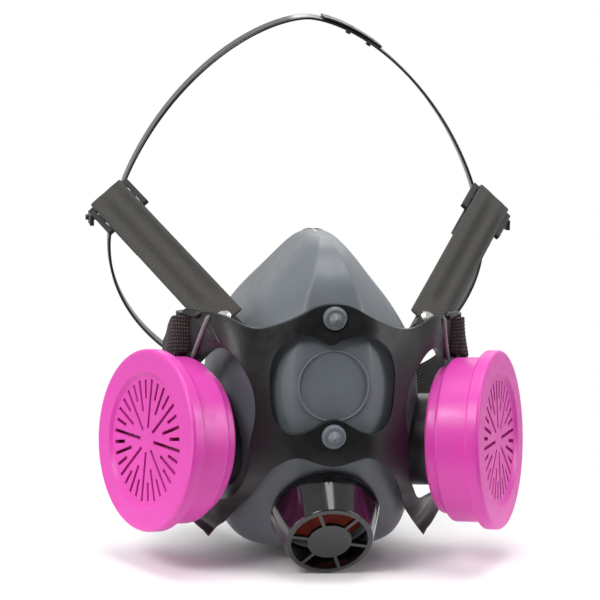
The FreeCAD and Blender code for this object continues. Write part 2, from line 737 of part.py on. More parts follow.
def head_strap(label, side):
    """Webbing from the yoke back to the cradle, folded round the buckle's outer bar."""
    body = new_body(label, strap_place(side))
    fold = "strap_length - 46"
    inner = "0.8 - strap_thick"
    under = inner + " - buckle_thick - 0.7"
    sketch = sketch_on(body, label + "_outline", "XZ_Plane")
    draw_outline(sketch, (
        ("strap_root", inner), ("strap_length - strap_thick", inner),
        ("strap_length - strap_thick", under), (fold, under),
        (fold, under + " - strap_thick"), ("strap_length", under + " - strap_thick"),
        ("strap_length", "0.8"), ("strap_root", "0.8")))
    pad = body.newObject("PartDesign::Pad", label + "_width")
    pad.Profile = sketch
    pad.SideType = "Symmetric"
    pad.Length = size("strap_width")
    pad.setExpression("Length", "Sizes.strap_width")
    doc.recompute()
    keep(body, label)


def strap_buckle(label, side):
    """Frame with two slots; its outer bar sits in the strap's fold, its lug holds the cradle pin."""
    body = new_body(label + "_frame", strap_place(side))
    level = "0.8 - strap_thick - 0.35 - buckle_thick"
    left = "strap_length - 24"
    right = "strap_length - strap_thick - 0.4"
    half = "strap_width * 0.5 + 3.2"
    inner = "strap_width * 0.5 + 0.4"
    plate = ((left, f"-({half})"), (right, f"-({half})"), (right, half), (left, half))
    padded(body, label + "_plate", lambda sketch: draw_outline(sketch, plate), "buckle_thick", level)
    for index, (start, end) in enumerate(((21, 14.5), (11, 5.5)), 1):
        slot = ((f"strap_length - {start}", f"-({inner})"), (f"strap_length - {end}", f"-({inner})"),
                (f"strap_length - {end}", inner), (f"strap_length - {start}", inner))
        pocketed(body, f"{label}_slot_{index}", lambda sketch: draw_outline(sketch, slot),
                 "buckle_thick + 2", level + " + buckle_thick + 1")
    pivot = cradle_pivot()
    block = doc.addObject("Part::Box", label + "_lug")
    block.Length = LUG_THICK
    block.Width = 18.8
    block.Height = 5.2
    inward = LUG_REACH if side > 0 else -LUG_REACH - LUG_THICK
    block.Placement = Placement(Vector(inward, pivot.y - 18.8, pivot.z - 2.6), Rotation())
    across = Rotation(Vector(0, 0, 1), Vector(1, 0, 0))
    eye = doc.addObject("Part::Cylinder", label + "_eye")
    eye.Radius = 3.2
    eye.Height = LUG_THICK
    eye.Placement = Placement(Vector(inward, pivot.y, pivot.z), across)
    joined = doc.addObject("Part::MultiFuse", label + "_joined")
    joined.Shapes = [body, block, eye]
    hole = doc.addObject("Part::Cylinder", label + "_hole")
    hole.setExpression("Radius", "Sizes.pin_radius + 0.06")
    hole.Height = LUG_THICK + 4
    hole.Placement = Placement(Vector(inward - 2, pivot.y, pivot.z), across)
    cut = doc.addObject("Part::Cut", label)
    cut.Base = joined
    cut.Tool = hole
    keep(cut, label)


def cradle_pivot():
    """Middle of the line through the two cradle pins."""
    return at(0, 113.8, size("pivot_height"))


def cradle_pins():
    """Two pins that stand out of the cradle band and turn in the buckles' lugs."""
    pivot = cradle_pivot()
    pins = []
    for name, side in SIDES:
        pin = doc.addObject("Part::Cylinder", "cradle_pin_" + name)
        pin.setExpression("Radius", "Sizes.pin_radius")
        pin.Height = LUG_REACH + LUG_THICK + 1.5 - PIN_START
        start = PIN_START if side > 0 else -PIN_START - pin.Height.Value
        pin.Placement = Placement(Vector(start, pivot.y, pivot.z), Rotation(Vector(0, 0, 1), Vector(1, 0, 0)))
        pins.append(pin)
    group = doc.addObject("Part::Compound", "cradle_pins")
    group.Links = pins
    keep(group, "cradle_pins")


def cradle_point(turn, inset):
    """Point of the egg-shaped band at a turn from its top, as (x, height over its widest level)."""
    half = size("cradle_half") - inset
    upper = cos(turn) > 0
    power = 1.21 if upper else 1.0
    reach = (CRADLE_TOP if upper else CRADLE_BOTTOM) - inset
    height = abs(cos(turn)) ** power * reach
    wide = abs(sin(turn)) ** power * half
    return (wide if sin(turn) > 0 else -wide), (height if upper else -height)


def head_cradle():
    """Thin band that sits on the crown, leaning back towards its lower end."""
    pivot = cradle_pivot()
    widest = at(0, 0, CRADLE_WIDEST).z

    def ring(inset):
        points = [cradle_point(2 * pi * step / CRADLE_STEPS, inset) for step in range(CRADLE_STEPS)]
        return closed_curve([Vector(x, -100, widest + z) for x, z in points]).extrude(Vector(0, 300, 0))

    band = ring(0.0).cut(ring(size("cradle_thick")))
    back = size("cradle_width")
    slab = Part.makeBox(260, back, 340, Vector(-130, -back / 2, -170))
    slab.rotate(Vector(0, 0, 0), Vector(1, 0, 0), CRADLE_LEAN)
    slab.translate(pivot)
    band = band.common(slab)
    pin_hole = Part.makeCylinder(size("pin_radius") + 0.02, 240, Vector(-120, pivot.y, pivot.z), Vector(1, 0, 0))
    band = band.cut([pin_hole] + peg_rods(1.42, 8.0))
    feature("head_cradle", max(band.Solids, key=lambda item: item.Volume))


def peg_rods(radius, length):
    """Two round rods square to the band, near the top, where its ends lap."""
    pivot = cradle_pivot()
    rods = []
    for turn in (radians(17.0), radians(24.0)):
        x, height = cradle_point(turn, size("cradle_thick") / 2)
        ahead_x, ahead_height = cradle_point(turn + 0.02, size("cradle_thick") / 2)
        outward = Vector(height - ahead_height, 0, ahead_x - x).normalize()
        spot = Vector(x, pivot.y, at(0, 0, CRADLE_WIDEST).z + height)
        spot.y -= sin(radians(CRADLE_LEAN)) * (spot.z - pivot.z)
        rods.append(Part.makeCylinder(radius, length, spot - outward * length / 2, outward))
    return rods


def cradle_pegs():
    """Small pegs that close the lap joint near the top of the band."""
    feature("cradle_pegs", Part.makeCompound(peg_rods(1.4, 4.4)))


def neck_place():
    """Neck strap frame: X across, Y back and down along the slope, Z across the webbing."""
    slope = radians(size("neck_slope"))
    along = Vector(0, cos(slope), -sin(slope))
    across = Vector(0, sin(slope), cos(slope))
    return Placement(at(0, 19.0, 51.3), Rotation(Vector(1, 0, 0), along, across, "ZXY"))


def neck_strap(label, side):
    """Elastic webbing: a loop round the yoke's end bar, then out, back and down to the nape."""
    thick = size("neck_thick")
    width = size("neck_width")
    path = [Vector(side * x, y, 0) for x, y in NECK_PATH]
    outer = []
    for index, spot in enumerate(path):
        run = path[min(index + 1, len(path) - 1)] - path[max(index - 1, 0)]
        outer.append(spot + Vector(run.y, -run.x, 0).normalize() * thick * side)
    edges = [curve_through(path), Part.makeLine(path[-1], outer[-1]),
             curve_through(list(reversed(outer))), Part.makeLine(outer[0], path[0])]
    band = Part.Face(Part.Wire(edges)).extrude(Vector(0, 0, width))
    band.translate(Vector(0, 0, -width / 2))
    sleeve = bar_tube(side, BAR_LOOP, BAR_LOOP + thick, 0.0)
    yoke_side = Part.makeBox(200, 40, 200, at(-100, -22, -50))
    band = placed(band, neck_place()).cut([bar_rod(side, BAR_LOOP, 3.0), yoke_side]).fuse(sleeve)
    feature(label, max(band.Solids, key=lambda item: item.Volume))


def bar_ends(side):
    """Lower and upper end of the strap's loop, on the line of the yoke's end bar."""
    return at(side * 68.9, 26.5, 43.0), at(side * 68.9, 24.0, 59.5)


def nape_place():
    """Nape clasp frame: X across, Y away from the neck, Z across the webbing."""
    place = neck_place()
    return Placement(place.multVec(Vector(0, size("neck_reach"), 0)), place.Rotation)


def nape_plate():
    """Plate on the right strap with the stud that the hook snaps over."""
    plate = Part.makeBox(24, 2.0, 18, Vector(-3, -1.1, -9))
    slot = Part.makeBox(3.4, 6, 14, Vector(16, -4, -7))
    stud = Part.makeCylinder(3.0, 5.4, Vector(3, 0, 0), Vector(0, 1, 0))
    feature("nape_plate", plate.cut(slot).fuse(stud), nape_place())


def nape_hook():
    """Hook plate on the left strap; it turns outwards off the stud."""
    plate = Part.makeBox(30, 2.2, 18, Vector(-22, 1.4, -9))
    slot = Part.makeBox(3.4, 6, 14, Vector(-19, -2, -7))
    hole = Part.makeCylinder(3.9, 8, Vector(3, -2, 0), Vector(0, 1, 0))
    feature("nape_hook", plate.cut([slot, hole]), nape_place())


def main():
    facepiece()
    face_seal()
    facepiece_studs()
    yoke()
    for name, side in SIDES:
        place = filter_place(side)
        inlet_port("inlet_port_" + name, place)
        inhalation_valve("inhalation_valve_" + name, place)
        filter_gasket("filter_gasket_" + name, place)
        filter_body("filter_body_" + name, place)
        filter_media("filter_media_" + name, place)
        filter_cover("filter_cover_" + name, place)
        strap_end("strap_end_" + name, side)
        head_strap("head_strap_" + name, side)
        strap_buckle("strap_buckle_" + name, side)
        neck_strap("neck_strap_" + name, side)
    exhalation_seat()
    exhalation_valve()
    exhalation_cover()
    strap_rivets()
    head_cradle()
    cradle_pins()
    cradle_pegs()
    nape_plate()
    nape_hook()


def write_parts():
    """Checks every object, then writes one STEP file for each sub-part."""
    doc.recompute()
    for item in doc.Objects:
        if "Invalid" in item.State or "Error" in item.State:
            raise RuntimeError(f"{item.Label} failed: {item.State}")
    for item in nodes:
        if item.Shape.isNull() or not item.Shape.isValid():
            raise RuntimeError(item.Label + " has no valid shape")
    os.makedirs("parts", exist_ok=True)
    for item in nodes:
        item.Shape.exportStep(f"parts/{item.Label}.step")
        box = item.Shape.BoundBox
        print(f"{item.Label:24s} solids {len(item.Shape.Solids)} volume {item.Shape.Volume:9.0f}"
              f" x {box.XMin:7.1f} {box.XMax:7.1f} y {box.YMin:7.1f} {box.YMax:7.1f}"
              f" z {box.ZMin:7.1f} {box.ZMax:7.1f}")


main()
write_parts()
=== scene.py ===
import math

import bmesh
import bpy
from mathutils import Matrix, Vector


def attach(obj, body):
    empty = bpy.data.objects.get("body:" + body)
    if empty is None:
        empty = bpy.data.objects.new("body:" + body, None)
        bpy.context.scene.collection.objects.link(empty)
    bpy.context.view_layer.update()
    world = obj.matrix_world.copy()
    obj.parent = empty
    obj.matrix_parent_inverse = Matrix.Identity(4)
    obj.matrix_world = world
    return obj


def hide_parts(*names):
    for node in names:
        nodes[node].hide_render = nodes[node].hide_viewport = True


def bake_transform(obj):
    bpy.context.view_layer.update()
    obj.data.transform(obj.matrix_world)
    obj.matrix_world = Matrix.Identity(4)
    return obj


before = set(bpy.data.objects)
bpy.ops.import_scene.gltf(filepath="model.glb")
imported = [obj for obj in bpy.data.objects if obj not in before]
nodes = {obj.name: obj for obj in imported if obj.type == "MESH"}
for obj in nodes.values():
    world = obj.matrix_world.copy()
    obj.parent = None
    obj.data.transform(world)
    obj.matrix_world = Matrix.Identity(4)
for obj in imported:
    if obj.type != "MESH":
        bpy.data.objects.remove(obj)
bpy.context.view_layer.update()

MM = 0.001
# Millimetres from the frame's origin to the middle of the two cartridge rims.
FRONT_REACH = 51.3
FILTER_HEIGHT = 60.87
SIDES = (("left", -1), ("right", 1))


def at(x, y, z):
    """A point in millimetres from the middle of the two cartridge rims, in the frame and in metres."""
    return Vector((x, y - FRONT_REACH, z + FILTER_HEIGHT)) * MM


# ---------------------------------------------------------------- camera, floor, light

def make_camera():
    """The photograph's angle: from the viewer's left and a little above, slightly rolled."""
    turn, tilt, roll = math.radians(8.1), math.radians(8.0), math.radians(1.5)
    look = Vector((math.sin(turn) * math.cos(tilt), math.cos(turn) * math.cos(tilt), -math.sin(tilt)))
    right = Vector((math.cos(turn), -math.sin(turn), 0.0))
    up = right.cross(look)
    right_rolled = right * math.cos(roll) + up * math.sin(roll)
    up_rolled = up * math.cos(roll) - right * math.sin(roll)
    place = at(0, 0, 0) + (look * -1200.0 - right_rolled * 11.892 + up_rolled * 71.109) * MM
    data = bpy.data.cameras.new("camera")
    data.sensor_width = 36.0
    data.lens = 146.2
    data.clip_start = 0.05
    data.clip_end = 60.0
    camera = bpy.data.objects.new("camera", data)
    bpy.context.scene.collection.objects.link(camera)
    matrix = camera.matrix_world.copy()
    for row in range(3):
        matrix[row][0] = right_rolled[row]
        matrix[row][1] = up_rolled[row]
        matrix[row][2] = -look[row]
        matrix[row][3] = place[row]
    camera.matrix_world = matrix
    bpy.context.scene.camera = camera


make_camera()


def link(obj):
    bpy.context.scene.collection.objects.link(obj)
    return obj


def area_light(name, place, target, width, height, power, tint=(1, 1, 1)):
    data = bpy.data.lights.new(name, "AREA")
    data.shape = "RECTANGLE"
    data.size = width
    data.size_y = height
    data.energy = power
    data.color = tint
    lamp = link(bpy.data.objects.new(name, data))
    lamp.location = place
    lamp.rotation_euler = (Vector(target) - Vector(place)).to_track_quat("-Z", "Y").to_euler()


def make_world():
    """White to the camera; to everything else a room that is dark behind the camera."""
    world = bpy.data.worlds.new("studio")
    bpy.context.scene.world = world
    world.use_nodes = True
    tree = world.node_tree
    room = tree.nodes["Background"]
    room.inputs["Color"].default_value = (1, 1, 1, 1)
    white = tree.nodes.new("ShaderNodeBackground")
    white.inputs["Color"].default_value = (1, 1, 1, 1)
    coords = tree.nodes.new("ShaderNodeTexCoord")
    parts = tree.nodes.new("ShaderNodeSeparateXYZ")
    level = tree.nodes.new("ShaderNodeMapRange")
    level.interpolation_type = "SMOOTHSTEP"
    for socket, value in (("From Min", -0.95), ("From Max", -0.1), ("To Min", 0.06), ("To Max", 0.62)):
        level.inputs[socket].default_value = value
    mix = tree.nodes.new("ShaderNodeMixShader")
    path = tree.nodes.new("ShaderNodeLightPath")
    for first, second in ((coords.outputs["Generated"], parts.inputs["Vector"]),
                          (parts.outputs["Y"], level.inputs["Value"]),
                          (level.outputs["Result"], room.inputs["Strength"]),
                          (path.outputs["Is Camera Ray"], mix.inputs["Fac"]),
                          (room.outputs["Background"], mix.inputs[1]),
                          (white.outputs["Background"], mix.inputs[2]),
                          (mix.outputs["Shader"], tree.nodes["World Output"].inputs["Surface"])):
        tree.links.new(first, second)


def floor_material():
    """Matt white that fades away from the object into the white behind it."""
    material = bpy.data.materials.new("floor_white")
    material.use_nodes = True
    tree = material.node_tree
    shader = tree.nodes["Principled BSDF"]
    shader.inputs["Base Color"].default_value = (0.95, 0.95, 0.95, 1)
    shader.inputs["Roughness"].default_value = 0.7
    shader.inputs["Specular IOR Level"].default_value = 0.1
    coords = tree.nodes.new("ShaderNodeTexCoord")
    reach = tree.nodes.new("ShaderNodeVectorMath")
    reach.operation = "LENGTH"
    fade = tree.nodes.new("ShaderNodeMapRange")
    fade.interpolation_type = "SMOOTHSTEP"
    fade.inputs["From Min"].default_value = 0.10
    fade.inputs["From Max"].default_value = 0.27
    clear = tree.nodes.new("ShaderNodeBsdfTransparent")
    mix = tree.nodes.new("ShaderNodeMixShader")
    for first, second in ((coords.outputs["Object"], reach.inputs[0]),
                          (reach.outputs["Value"], fade.inputs["Value"]),
                          (fade.outputs["Result"], mix.inputs["Fac"]),
                          (shader.outputs["BSDF"], mix.inputs[1]),
                          (clear.outputs["BSDF"], mix.inputs[2]),
                          (mix.outputs["Shader"], tree.nodes["Material Output"].inputs["Surface"])):
        tree.links.new(first, second)
    return material


def make_stage():
    make_world()
    bpy.context.scene.view_settings.view_transform = "Standard"
    target = (0, 0, 0.12)
    area_light("key", (-1.1, -1.2, 1.5), target, 0.7, 0.7, 20)
    area_light("side", (1.5, -0.7, 0.8), target, 0.5, 1.2, 12)
    area_light("left", (-1.6, -0.4, 0.3), target, 0.4, 1.0, 9)
    area_light("top", (0.1, -0.1, 1.9), target, 1.2, 1.2, 20)
    area_light("rim", (0.6, 1.6, 1.2), target, 1.2, 0.8, 8)
    mesh = bpy.data.meshes.new("floor")
    reach = 0.6
    corners = [(-reach, -reach, 0), (reach, -reach, 0), (reach, reach, 0), (-reach, reach, 0)]
    mesh.from_pydata(corners, [], [(0, 1, 2, 3)])
    floor = link(bpy.data.objects.new("floor", mesh))
    floor.location.z = -0.0006
    mesh.materials.append(floor_material())


make_stage()


# ---------------------------------------------------------------- materials

class Shader:
    """A Principled material with short ways to add the nodes that give it detail."""

    def __init__(self, name, color, rough, **sockets):
        self.material = bpy.data.materials.new(name)
        self.material.use_nodes = True
        self.tree = self.material.node_tree
        self.main = self.tree.nodes["Principled BSDF"]
        self.color = color
        self.main.inputs["Base Color"].default_value = (*color, 1)
        self.main.inputs["Roughness"].default_value = rough
        for socket, value in sockets.items():
            self.main.inputs[socket.replace("_", " ")].default_value = value
        self.coords = self.tree.nodes.new("ShaderNodeTexCoord")
        self.edges = None

    def node(self, kind, **inputs):
        item = self.tree.nodes.new(kind)
        for socket, value in inputs.items():
            self.wire(value, item.inputs[socket.replace("_", " ")])
        return item

    def wire(self, value, socket):
        if isinstance(value, bpy.types.NodeSocket):
            self.tree.links.new(value, socket)
        else:
            socket.default_value = value

    def noise(self, scale, detail=3.0, rough=0.55, space="Object"):
        item = self.node("ShaderNodeTexNoise", Vector=self.coords.outputs[space], Scale=scale, Detail=detail,
                         Roughness=rough)
        return item.outputs["Fac"]

    def ramp(self, value, stops):
        item = self.node("ShaderNodeValToRGB", Fac=value)
        points = item.color_ramp.elements
        while len(points) < len(stops):
            points.new(0.5)
        for point, (spot, color) in zip(points, stops):
            point.position = spot
            point.color = (*color, 1)
        return item.outputs["Color"]

    def spread(self, value, low, high):
        item = self.node("ShaderNodeMapRange", Value=value)
        item.inputs["From Min"].default_value = 0.3
        item.inputs["From Max"].default_value = 0.7
        item.inputs["To Min"].default_value = low
        item.inputs["To Max"].default_value = high
        return item.outputs["Result"]

    def tint(self, scale, amount, detail=3.0):
        """Colour that wanders a little lighter and darker."""
        dark = tuple(part * (1 - amount) for part in self.color)
        light = tuple(min(1.0, part * (1 + amount)) for part in self.color)
        self.wire(self.ramp(self.noise(scale, detail), ((0.3, dark), (0.7, light))),
                  self.main.inputs["Base Color"])
        return self

    def haze(self, scale, low, high, detail=4.0):
        """Roughness that wanders between two values."""
        self.wire(self.spread(self.noise(scale, detail), low, high), self.main.inputs["Roughness"])
        return self

    def soften(self, radius):
        """Edges that catch the light as if rounded."""
        self.edges = self.node("ShaderNodeBevel", Radius=radius).outputs["Normal"]
        return self

    def grain(self, scale, depth, strength=0.5, detail=2.0):
        """Fine relief; depth in metres."""
        height = self.noise(scale, detail)
        bump = self.node("ShaderNodeBump", Height=height, Distance=depth, Strength=strength)
        if self.edges:
            self.wire(self.edges, bump.inputs["Normal"])
        self.wire(bump.outputs["Normal"], self.main.inputs["Normal"])
        return self


def uv_part(shader, axis):
    uv = shader.node("ShaderNodeUVMap")
    split = shader.node("ShaderNodeSeparateXYZ", Vector=uv.outputs["UV"])
    return split.outputs[axis]


def math_node(shader, operation, first, second=0.0):
    item = shader.tree.nodes.new("ShaderNodeMath")
    item.operation = operation
    shader.wire(first, item.inputs[0])
    shader.wire(second, item.inputs[1])
    return item.outputs[0]


def wave(shader, value, pitch):
    """0 to 1 and back once every pitch, in metres of the value."""
    turns = math_node(shader, "MULTIPLY", value, 2 * math.pi / pitch)
    return math_node(shader, "ADD",
                     math_node(shader, "MULTIPLY", math_node(shader, "COSINE", turns), 0.5), 0.5)


def webbing_material():
    """Dark ribbed webbing: the ribs are in the mesh, the yarn's twist and fuzz are here, and the colour
    follows their height as painted shade in the hollows and painted highlight on the crests.
    """
    shader = Shader("webbing", (0.02, 0.02, 0.021), 0.8, Sheen_Weight=0.06, Sheen_Roughness=0.5)
    along = uv_part(shader, "X")
    across = uv_part(shader, "Y")
    crest = wave(shader, along, 0.0011)
    slant = math_node(shader, "ADD", math_node(shader, "MULTIPLY", along, 0.5), across)
    yarn = wave(shader, slant, 0.0006)
    height = math_node(shader, "ADD", math_node(shader, "MULTIPLY", crest, 0.6),
                       math_node(shader, "MULTIPLY", yarn, 0.25))
    lint = math_node(shader, "MULTIPLY", shader.noise(2600.0, 2.0), 0.35)
    total = math_node(shader, "ADD", height, lint)
    # Painted shade and highlight: near black in the weave's hollows, lighter on its crests; the lint noise
    # adds random tone.
    color = shader.ramp(total, ((0.15, (0.004, 0.004, 0.004)), (0.6, (0.022, 0.021, 0.020)),
                                (1.0, (0.115, 0.105, 0.09))))
    shader.wire(color, shader.main.inputs["Base Color"])
    bump = shader.node("ShaderNodeBump", Height=total, Distance=0.0002, Strength=0.5)
    shader.wire(bump.outputs["Normal"], shader.main.inputs["Normal"])
    return shader.material


def elastic_material():
    """Coarse woven elastic: black-brown with rows of light dots on the raised stitches; the dots are painted
    highlight and the dark between the rows is painted shade.
    """
    shader = Shader("elastic", (0.012, 0.010, 0.009), 0.85, Sheen_Weight=0.04, Sheen_Roughness=0.6)
    along = uv_part(shader, "X")
    across = uv_part(shader, "Y")
    row = wave(shader, across, 0.0018)
    dash = wave(shader, along, 0.0013)
    lint = shader.noise(1500.0, 3.0)
    dots = math_node(shader, "MULTIPLY", row, math_node(shader, "MULTIPLY", dash, lint))
    # Painted highlight on the raised stitches and painted shade between the rows, broken up by random lint
    # tone.
    color = shader.ramp(dots, ((0.05, (0.004, 0.0035, 0.003)), (0.28, (0.018, 0.014, 0.011)),
                               (0.55, (0.17, 0.135, 0.10))))
    shader.wire(color, shader.main.inputs["Base Color"])
    bump = shader.node("ShaderNodeBump", Height=dots, Distance=0.0003, Strength=0.6)
    shader.wire(bump.outputs["Normal"], shader.main.inputs["Normal"])
    return shader.material


MATERIALS = {
    "rubber": Shader("face_rubber", (0.118, 0.135, 0.152), 0.38, Sheen_Weight=0.12, Sheen_Roughness=0.5)
    .tint(55.0, 0.07).haze(140.0, 0.36, 0.5).grain(1900.0, 0.00006).material,
    "yoke": Shader("yoke_plastic", (0.007, 0.007, 0.008), 0.3)
    .tint(70.0, 0.2).haze(160.0, 0.27, 0.42).soften(0.0006).grain(1500.0, 0.00008, 0.6).material,
    # Painted highlight: the rib is the yoke's black plastic, coloured light grey so that it looks lit.
    "rib": Shader("rib_plastic", (0.26, 0.26, 0.265), 0.55, Specular_IOR_Level=0.25)
    .tint(90.0, 0.25).grain(1500.0, 0.00006).material,
    "port": Shader("port_plastic", (0.02, 0.02, 0.022), 0.4)
    .haze(200.0, 0.3, 0.5).grain(1500.0, 0.00006).material,
    "gloss": Shader("cover_plastic", (0.006, 0.006, 0.007), 0.1, Coat_Weight=0.5, Coat_Roughness=0.05)
    .haze(120.0, 0.07, 0.16).grain(700.0, 0.00002, 0.3).material,
    "seat": Shader("seat_plastic", (0.016, 0.016, 0.018), 0.25)
    .haze(160.0, 0.18, 0.35).grain(900.0, 0.00004).material,
    "flap": Shader("valve_rubber", (0.42, 0.055, 0.025), 0.35)
    .tint(220.0, 0.25).grain(1600.0, 0.00005).material,
    "pale_flap": Shader("clear_rubber", (0.55, 0.53, 0.48), 0.4)
    .tint(150.0, 0.1).grain(1500.0, 0.00005).material,
    "gasket": Shader("gasket_rubber", (0.02, 0.02, 0.02), 0.7)
    .tint(300.0, 0.3).grain(2000.0, 0.00008).material,
    "pink": Shader("filter_plastic", (0.70, 0.055, 0.42), 0.3, Subsurface_Weight=0.12, Subsurface_Scale=0.002)
    .tint(45.0, 0.035).haze(150.0, 0.28, 0.42).soften(0.0005).grain(1300.0, 0.00006, 0.45).material,
    "paper": Shader("filter_paper", (0.55, 0.10, 0.32), 0.9).tint(260.0, 0.3).grain(1500.0, 0.0003).material,
    "cradle": Shader("cradle_plastic", (0.012, 0.012, 0.013), 0.16)
    .haze(90.0, 0.12, 0.24).grain(600.0, 0.000008, 0.3).material,
    "buckle": Shader("buckle_plastic", (0.02, 0.02, 0.021), 0.45)
    .tint(90.0, 0.2).grain(1600.0, 0.0001).material,
    "metal": Shader("rivet_metal", (0.72, 0.69, 0.64), 0.22, Metallic=1.0)
    .haze(400.0, 0.16, 0.32).grain(900.0, 0.00003).material,
    "webbing": webbing_material(),
    "elastic": elastic_material(),
}

NODE_LOOKS = {
    "facepiece": "rubber", "face_seal": "rubber", "facepiece_studs": "rubber", "yoke": "yoke",
    "inlet_port": "port", "inhalation_valve": "pale_flap", "filter_gasket": "gasket", "filter_body": "pink",
    "filter_media": "paper", "filter_cover": "pink", "strap_end": "webbing", "head_strap": "webbing",
    "strap_buckle": "buckle", "neck_strap": "elastic", "exhalation_seat": "seat", "exhalation_valve": "flap",
    "exhalation_cover": "gloss", "strap_rivets": "metal", "head_cradle": "cradle", "cradle_pins": "buckle",
    "cradle_pegs": "cradle", "nape_plate": "buckle", "nape_hook": "buckle",
}


def dress_nodes():
    """Every CAD node that stays gets its own finish."""
    for name, obj in nodes.items():
        key = name.replace("_left", "").replace("_right", "")
        obj.data.materials.clear()
        obj.data.materials.append(MATERIALS[NODE_LOOKS[key]])


dress_nodes()


def smooth_object(mesh, name):
    """A smooth-shaded object from a bmesh, which is used up."""
    data = bpy.data.meshes.new(name)
    mesh.to_mesh(data)
    mesh.free()
    data.shade_smooth()
    return link(bpy.data.objects.new(name, data))


def material_on(obj, look):
    obj.data.materials.append(MATERIALS[look])


# ---------------------------------------------------------------- facepiece

# Height, front, half width, rim, half width of the flat middle panel.
FACE_LEVELS = (
    (-59.4, 46.0, 7.0, 51.0, 3.0), (-59.0, 40.5, 15.0, 50.8, 7.0), (-58.2, 32.0, 23.0, 50.5, 10.0),
    (-55.5, 15.0, 33.0, 53.0, 12.0), (-49.0, 2.5, 42.0, 58.0, 14.0), (-38.0, -4.5, 47.5, 65.0, 16.0),
    (-20.0, -15.0, 50.0, 76.0, 17.0), (0.0, -24.0, 50.5, 83.0, 17.5), (25.0, -25.5, 51.0, 84.0, 17.5),
    (48.0, -23.5, 46.8, 80.0, 17.0), (66.0, -19.5, 36.6, 74.0, 15.0), (82.0, -13.0, 23.5, 65.0, 11.0),
    (90.0, -5.5, 17.0, 59.5, 8.0), (95.5, 3.5, 12.0, 56.0, 5.0), (98.4, 12.0, 8.4, 53.5, 3.4),
    (99.9, 20.0, 4.6, 52.8, 1.8), (100.3, 27.0, 1.6, 52.2, 0.6), (100.4, 31.0, 0.1, 52.0, 0.04),
)


def curve_value(points, share):
    """A smooth line through equally numbered values; share runs from 0 to the last number."""
    index = min(int(share), len(points) - 2)
    t = share - index
    p0 = points[max(index - 1, 0)]
    p1, p2 = points[index], points[index + 1]
    p3 = points[min(index + 2, len(points) - 1)]
    return 0.5 * ((2 * p1) + (p2 - p0) * t + (2 * p0 - 5 * p1 + 4 * p2 - p3) * t * t
                  + (3 * p1 - p0 - 3 * p2 + p3) * t ** 3)


def face_row(height, front, half, rim, panel, columns):
    """Right half of one level, from the middle to the rim and the flap that turns in behind it."""
    depth = rim - front
    panel = min(panel, half * 0.45)
    spots = [Vector((panel, front + 0.010 * depth - 0.7, 0)), Vector((0.70 * half, front + 0.125 * depth, 0)),
             Vector((0.935 * half, front + 0.33 * depth, 0)), Vector((half, front + 0.62 * depth, 0)),
             Vector((half + 0.4, front + 0.88 * depth, 0)), Vector((half + 0.2, rim + 2.0, 0)),
             Vector((half * 0.965 - 0.3, rim + 4.6, 0)), Vector((half * 0.88 - 1.0, rim + 5.8, 0)),
             Vector((half * 0.76 - 1.5, rim + 5.0, 0))]
    row = [Vector((panel * part / 5, front + 0.010 * depth * (part / 5) ** 2 - 0.7 * (part / 5) ** 5, 0))
           for part in range(5)]
    for column in range(columns + 1):
        row.append(curve_value(spots, (len(spots) - 1) * column / columns))
    return [Vector((spot.x, spot.y, height)) for spot in row]


def facepiece():
    """Rubber shell with a flat middle panel between two creases, rounded nose and turned-in rim."""
    rows = 96
    columns = 44
    grid = []
    count = len(FACE_LEVELS) - 1
    for row in range(rows + 1):
        share = count * row / rows
        values = [curve_value([level[item] for level in FACE_LEVELS], share) for item in range(5)]
        right = face_row(*values, columns)
        left = [Vector((-spot.x, spot.y, spot.z)) for spot in reversed(right[1:])]
        grid.append(left + right)
    mesh = bmesh.new()
    verts = [[mesh.verts.new(at(*spot)) for spot in row] for row in grid]
    wide = len(grid[0])
    for row in range(rows):
        for column in range(wide - 1):
            mesh.faces.new((verts[row][column], verts[row][column + 1], verts[row + 1][column + 1],
                            verts[row + 1][column]))
    bmesh.ops.recalc_face_normals(mesh, faces=mesh.faces)
    shell = smooth_object(mesh, "face_shell")
    wall = shell.modifiers.new("wall", "SOLIDIFY")
    wall.thickness = 2.2 * MM
    wall.offset = -1.0
    group = shell.vertex_groups.new(name="wall")
    for row in range(rows + 1):
        half = curve_value([level[2] for level in FACE_LEVELS], count * row / rows)
        share = min(1.0, max(0.0, half / 10.0 - 0.1))
        group.add(range(row * wide, (row + 1) * wide), share, "REPLACE")
    wall.vertex_group = "wall"
    wall.thickness_vertex_group = 0.02
    material_on(shell, "rubber")
    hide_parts("facepiece", "face_seal")
    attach(shell, "mask")


facepiece()


def tube(name, points, radius, look, closed=False, flatten=1.0):
    """A moulded round bead through the points, rounded off at its ends."""
    mesh = bmesh.new()
    count = len(points)
    rings = []
    for index in range(count):
        before = points[index - 1] if index or closed else points[index]
        after = points[(index + 1) % count] if index < count - 1 or closed else points[index]
        run = (after - before).normalized()
        level = Vector((0, 1, 0)) if abs(run.y) < 0.9 else Vector((0, 0, 1))
        side = run.cross(level).normalized()
        out = side.cross(run).normalized()
        from_end = min(index, count - 1 - index)
        size = radius * (1.0 if closed or from_end > 1 else (0.35, 0.8)[from_end]) * MM
        ring = []
        for part in range(12):
            turn = math.radians(30 * part)
            spoke = side * math.cos(turn) + out * flatten * math.sin(turn)
            ring.append(mesh.verts.new(points[index] + spoke * size))
        rings.append(ring)
    for index in range(count if closed else count - 1):
        first, second = rings[index], rings[(index + 1) % count]
        for part in range(12):
            other = (part + 1) % 12
            mesh.faces.new((first[part], second[part], second[other], first[other]))
    if not closed:
        mesh.faces.new(rings[0])
        mesh.faces.new(list(reversed(rings[-1])))
    bmesh.ops.recalc_face_normals(mesh, faces=mesh.faces)
    bead = smooth_object(mesh, name)
    material_on(bead, look)
    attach(bead, "mask")


